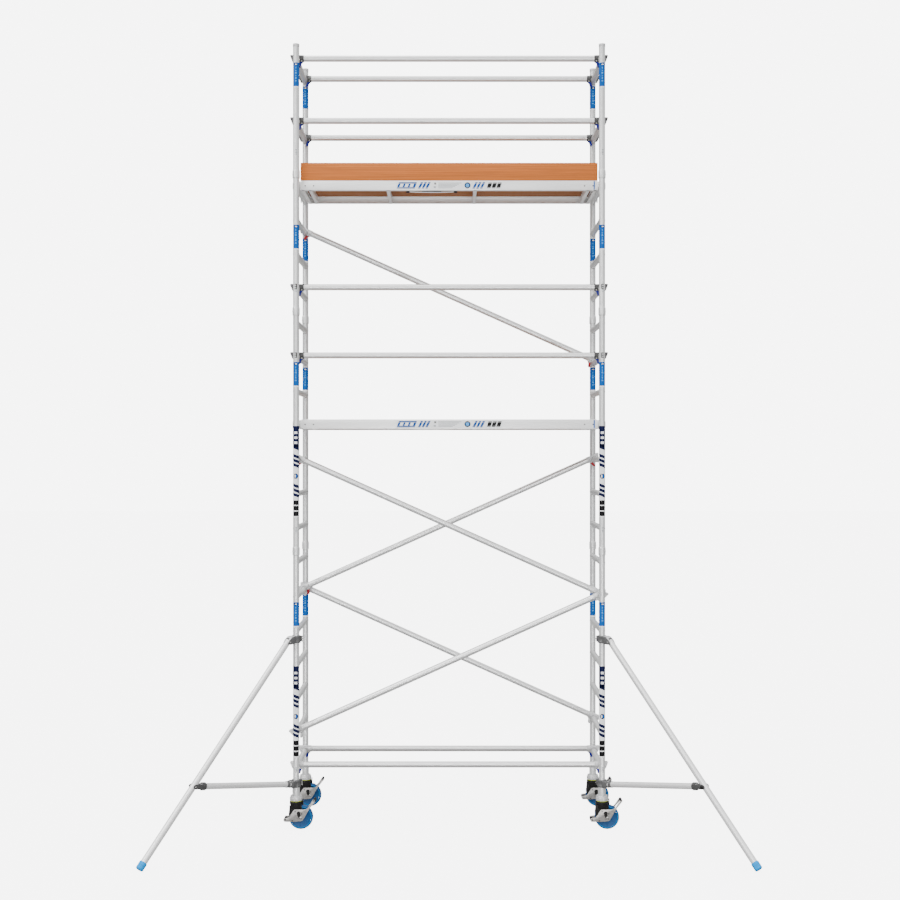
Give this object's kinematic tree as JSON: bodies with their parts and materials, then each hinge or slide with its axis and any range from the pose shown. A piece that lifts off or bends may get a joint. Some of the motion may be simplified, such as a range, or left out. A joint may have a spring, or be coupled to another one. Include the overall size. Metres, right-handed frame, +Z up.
{
  "type": "mobile tower scaffold",
  "caption": "Mobile aluminium tower scaffold with ladder end frames, hooked braces, platforms with hatches, toe boards, outriggers and braked swivel castors.",
  "frame": {"origin": "centre of the footprint's bounding box, on the floor", "axes": "+X along the tower's length, +Y from the outriggers' side to the back, +Z up"},
  "size_m": [4.5924, 1.9029, 6.415],
  "materials": {
    "frame_tube": "satin extruded aluminium tube",
    "brace_tube": "satin extruded aluminium tube with cast claws",
    "platform_frame": "satin extruded aluminium section",
    "platform_board": "brown film-faced plywood",
    "platform_hatch": "brown film-faced plywood",
    "toe_board": "oiled timber board",
    "castor_stem": "zinc plated steel",
    "castor_nut": "cast, zinc plated",
    "castor_fork": "black painted pressed steel",
    "castor_wheel": "blue moulded tyre on a blue rim",
    "castor_brake": "galvanised pressed steel",
    "outrigger_clamp": "dark sand-cast aluminium",
    "outrigger_tube": "satin extruded aluminium tube",
    "outrigger_foot": "moulded blue rubber"
  },
  "bodies": {
    "tower": {"lower_frame_left": "frame_tube", "lower_frame_right": "frame_tube", "middle_frame_left": "frame_tube", "middle_frame_right": "frame_tube", "upper_frame_left": "frame_tube", "upper_frame_right": "frame_tube", "guard_frame_left": "frame_tube", "guard_frame_right": "frame_tube", "base_rail_front": "brace_tube", "base_rail_back": "brace_tube", "middle_knee_rail_front": "brace_tube", "middle_guard_rail_front": "brace_tube", "knee_rail_front": "brace_tube", "knee_rail_back": "brace_tube", "guard_rail_front": "brace_tube", "guard_rail_back": "brace_tube", "diagonal_lower_front": "brace_tube", "diagonal_lower_back": "brace_tube", "diagonal_middle_front": "brace_tube", "diagonal_middle_back": "brace_tube", "diagonal_upper_back": "brace_tube", "lower_platform_frame": "platform_frame", "lower_platform_board": "platform_board", "upper_platform_frame": "platform_frame", "upper_platform_board": "platform_board", "toe_board_front": "toe_board", "toe_board_back": "toe_board", "toe_board_left": "toe_board", "toe_board_right": "toe_board"},
    "lower_hatch": {"lower_platform_hatch": "platform_hatch"},
    "upper_hatch": {"upper_platform_hatch": "platform_hatch"},
    "stem_front_left": {"castor_stem_front_left": "castor_stem"},
    "nut_front_left": {"castor_nut_front_left": "castor_nut"},
    "fork_front_left": {"castor_fork_front_left": "castor_fork"},
    "wheel_front_left": {"castor_wheel_front_left": "castor_wheel"},
    "brake_front_left": {"castor_brake_front_left": "castor_brake"},
    "stem_front_right": {"castor_stem_front_right": "castor_stem"},
    "nut_front_right": {"castor_nut_front_right": "castor_nut"},
    "fork_front_right": {"castor_fork_front_right": "castor_fork"},
    "wheel_front_right": {"castor_wheel_front_right": "castor_wheel"},
    "brake_front_right": {"castor_brake_front_right": "castor_brake"},
    "stem_back_left": {"castor_stem_back_left": "castor_stem"},
    "nut_back_left": {"castor_nut_back_left": "castor_nut"},
    "fork_back_left": {"castor_fork_back_left": "castor_fork"},
    "wheel_back_left": {"castor_wheel_back_left": "castor_wheel"},
    "brake_back_left": {"castor_brake_back_left": "castor_brake"},
    "stem_back_right": {"castor_stem_back_right": "castor_stem"},
    "nut_back_right": {"castor_nut_back_right": "castor_nut"},
    "fork_back_right": {"castor_fork_back_right": "castor_fork"},
    "wheel_back_right": {"castor_wheel_back_right": "castor_wheel"},
    "brake_back_right": {"castor_brake_back_right": "castor_brake"},
    "outrigger_left": {"outrigger_clamp_left": "outrigger_clamp", "outrigger_strut_left": "outrigger_tube", "outrigger_arm_left": "outrigger_tube", "outrigger_foot_left": "outrigger_foot"},
    "outrigger_right": {"outrigger_clamp_right": "outrigger_clamp", "outrigger_strut_right": "outrigger_tube", "outrigger_arm_right": "outrigger_tube", "outrigger_foot_right": "outrigger_foot"}
  },
  "joints": [
    {"name": "lower_hatch_hinge", "type": "hinge", "parent": "tower", "child": "lower_hatch", "pos_m": [-0.144, 0.7875, 3.341], "axis": [-1, 0, 0], "range_deg": [0, 90]},
    {"name": "upper_hatch_hinge", "type": "hinge", "parent": "tower", "child": "upper_hatch", "pos_m": [-0.144, 0.7875, 5.301], "axis": [-1, 0, 0], "range_deg": [0, 90]},
    {"name": "jack_front_left", "type": "slide", "parent": "tower", "child": "stem_front_left", "axis": [0, 0, 1], "range_m": [-0.2, 0]},
    {"name": "nut_turn_front_left", "type": "hinge", "parent": "tower", "child": "nut_front_left", "pos_m": [-1.25, 0.204, 0.255], "axis": [0, 0, 1], "continuous": true},
    {"name": "swivel_front_left", "type": "hinge", "parent": "stem_front_left", "child": "fork_front_left", "pos_m": [-1.25, 0.204, 0.228], "axis": [0, 0, 1], "continuous": true},
    {"name": "roll_front_left", "type": "hinge", "parent": "fork_front_left", "child": "wheel_front_left", "pos_m": [-1.21, 0.204, 0.1], "axis": [0, 1, 0], "continuous": true},
    {"name": "brake_pedal_front_left", "type": "hinge", "parent": "fork_front_left", "child": "brake_front_left", "pos_m": [-1.232, 0.204, 0.135], "axis": [0, 1, 0], "range_deg": [0, 14]},
    {"name": "jack_front_right", "type": "slide", "parent": "tower", "child": "stem_front_right", "axis": [0, 0, 1], "range_m": [-0.2, 0]},
    {"name": "nut_turn_front_right", "type": "hinge", "parent": "tower", "child": "nut_front_right", "pos_m": [1.25, 0.204, 0.255], "axis": [0, 0, 1], "continuous": true},
    {"name": "swivel_front_right", "type": "hinge", "parent": "stem_front_right", "child": "fork_front_right", "pos_m": [1.25, 0.204, 0.228], "axis": [0, 0, 1], "continuous": true},
    {"name": "roll_front_right", "type": "hinge", "parent": "fork_front_right", "child": "wheel_front_right", "pos_m": [1.29, 0.204, 0.1], "axis": [0, 1, 0], "continuous": true},
    {"name": "brake_pedal_front_right", "type": "hinge", "parent": "fork_front_right", "child": "brake_front_right", "pos_m": [1.268, 0.204, 0.135], "axis": [0, 1, 0], "range_deg": [0, 14]},
    {"name": "jack_back_left", "type": "slide", "parent": "tower", "child": "stem_back_left", "axis": [0, 0, 1], "range_m": [-0.2, 0]},
    {"name": "nut_turn_back_left", "type": "hinge", "parent": "tower", "child": "nut_back_left", "pos_m": [-1.25, 0.904, 0.255], "axis": [0, 0, 1], "continuous": true},
    {"name": "swivel_back_left", "type": "hinge", "parent": "stem_back_left", "child": "fork_back_left", "pos_m": [-1.25, 0.904, 0.228], "axis": [0, 0, 1], "continuous": true},
    {"name": "roll_back_left", "type": "hinge", "parent": "fork_back_left", "child": "wheel_back_left", "pos_m": [-1.21, 0.904, 0.1], "axis": [0, 1, 0], "continuous": true},
    {"name": "brake_pedal_back_left", "type": "hinge", "parent": "fork_back_left", "child": "brake_back_left", "pos_m": [-1.232, 0.904, 0.135], "axis": [0, 1, 0], "range_deg": [0, 14]},
    {"name": "jack_back_right", "type": "slide", "parent": "tower", "child": "stem_back_right", "axis": [0, 0, 1], "range_m": [-0.2, 0]},
    {"name": "nut_turn_back_right", "type": "hinge", "parent": "tower", "child": "nut_back_right", "pos_m": [1.25, 0.904, 0.255], "axis": [0, 0, 1], "continuous": true},
    {"name": "swivel_back_right", "type": "hinge", "parent": "stem_back_right", "child": "fork_back_right", "pos_m": [1.25, 0.904, 0.228], "axis": [0, 0, 1], "continuous": true},
    {"name": "roll_back_right", "type": "hinge", "parent": "fork_back_right", "child": "wheel_back_right", "pos_m": [1.29, 0.904, 0.1], "axis": [0, 1, 0], "continuous": true},
    {"name": "brake_pedal_back_right", "type": "hinge", "parent": "fork_back_right", "child": "brake_back_right", "pos_m": [1.268, 0.904, 0.135], "axis": [0, 1, 0], "range_deg": [0, 14]},
    {"name": "outrigger_swing_left", "type": "hinge", "parent": "tower", "child": "outrigger_left", "pos_m": [-1.25, 0.204, 1.554], "axis": [0, 0, 1], "range_deg": [-40, 40]},
    {"name": "outrigger_swing_right", "type": "hinge", "parent": "tower", "child": "outrigger_right", "pos_m": [1.25, 0.204, 1.554], "axis": [0, 0, 1], "range_deg": [-40, 40]}
  ],
  "couplings": [
    {"joint": "nut_turn_front_left", "follows": "jack_front_left", "rad_per_m": 785.4},
    {"joint": "nut_turn_front_right", "follows": "jack_front_right", "rad_per_m": 785.4},
    {"joint": "nut_turn_back_left", "follows": "jack_back_left", "rad_per_m": 785.4},
    {"joint": "nut_turn_back_right", "follows": "jack_back_right", "rad_per_m": 785.4}
  ]
}
